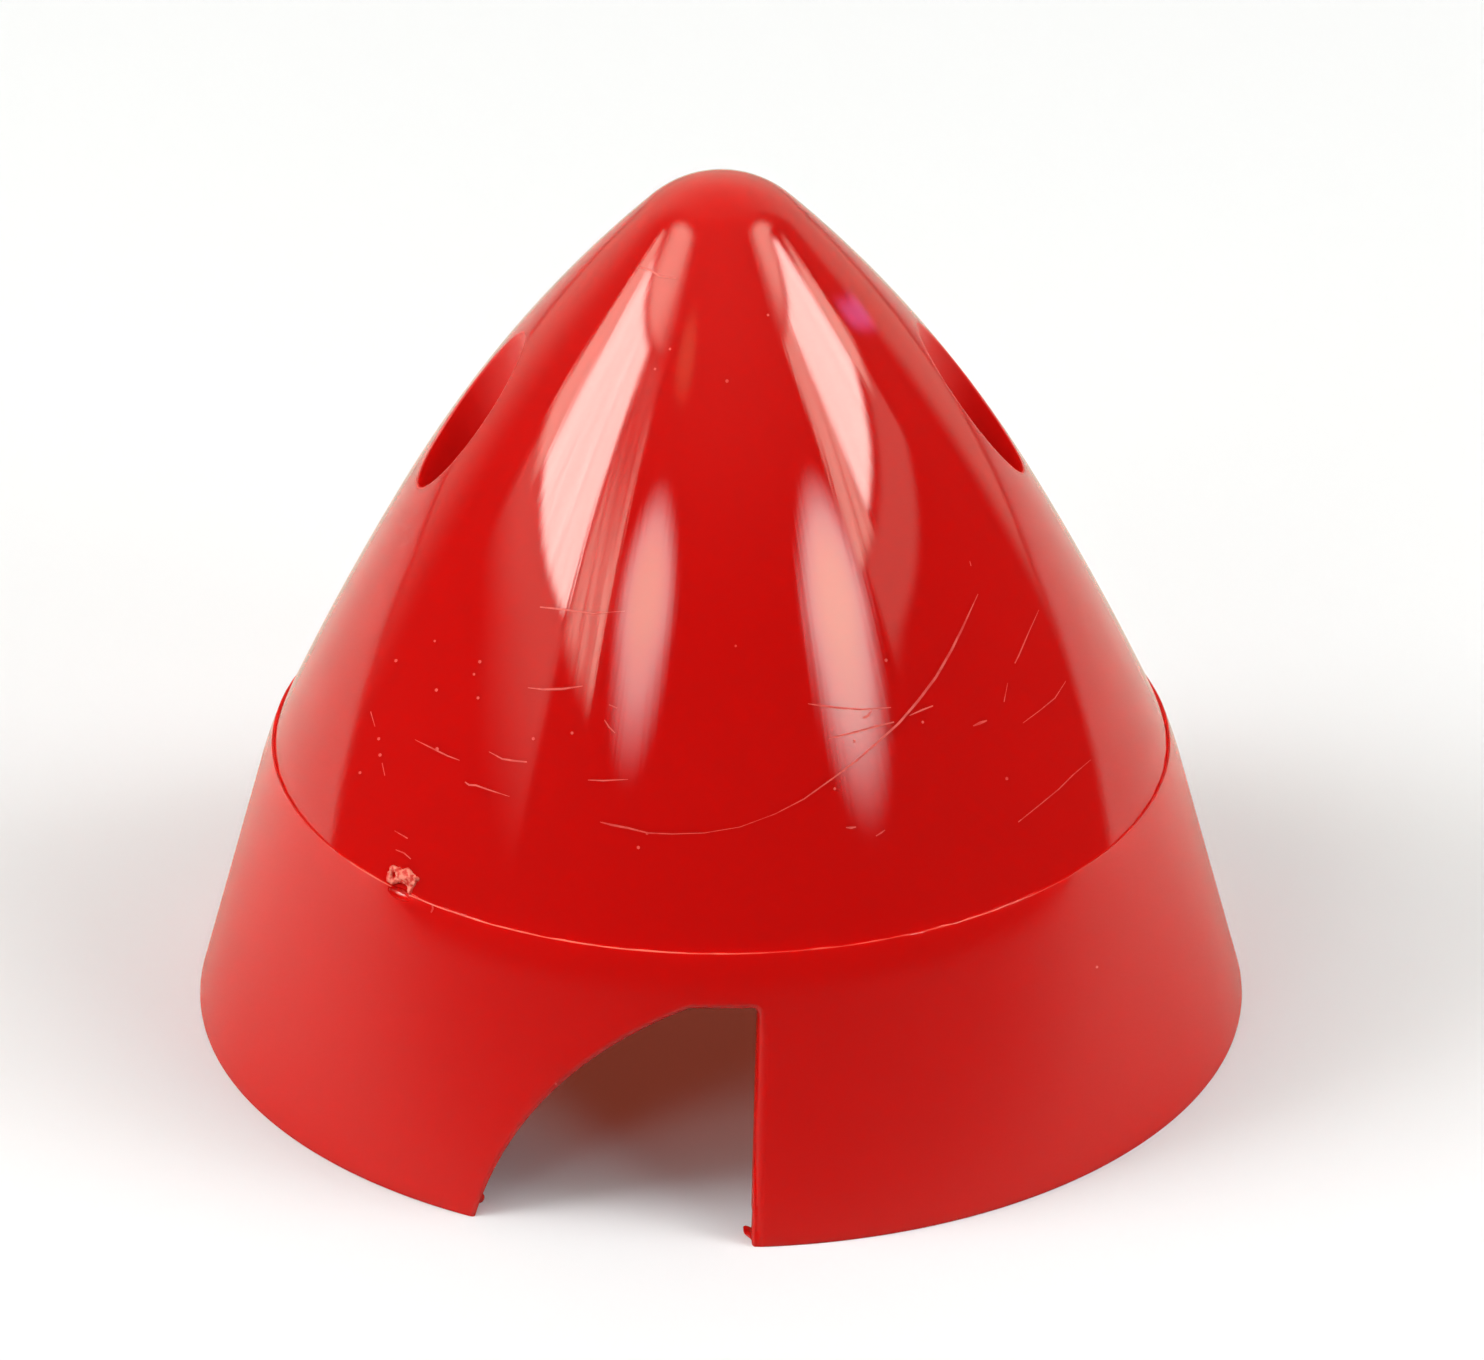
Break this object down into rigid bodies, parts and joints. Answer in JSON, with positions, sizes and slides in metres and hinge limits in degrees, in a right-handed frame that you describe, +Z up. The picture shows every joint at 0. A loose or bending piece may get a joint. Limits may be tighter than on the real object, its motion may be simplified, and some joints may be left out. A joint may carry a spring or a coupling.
{
  "type": "propeller spinner",
  "caption": "Hollow cone-nosed propeller spinner cap with blade cutouts in its rim and deep screw recesses.",
  "frame": {"origin": "centre of the rim circle, in the plane of the flat rim face on which the cap stands", "axes": "+Z up the cap's axis to the nose; X through the two screw axes; the blade cutouts open along -Y and +Y"},
  "size_m": [0.057, 0.057, 0.0486],
  "materials": {
    "red_plastic": "glossy moulded red cone over a satin band"
  },
  "bodies": {
    "root": {"spinner_cap": "red_plastic"}
  },
  "joints": []
}
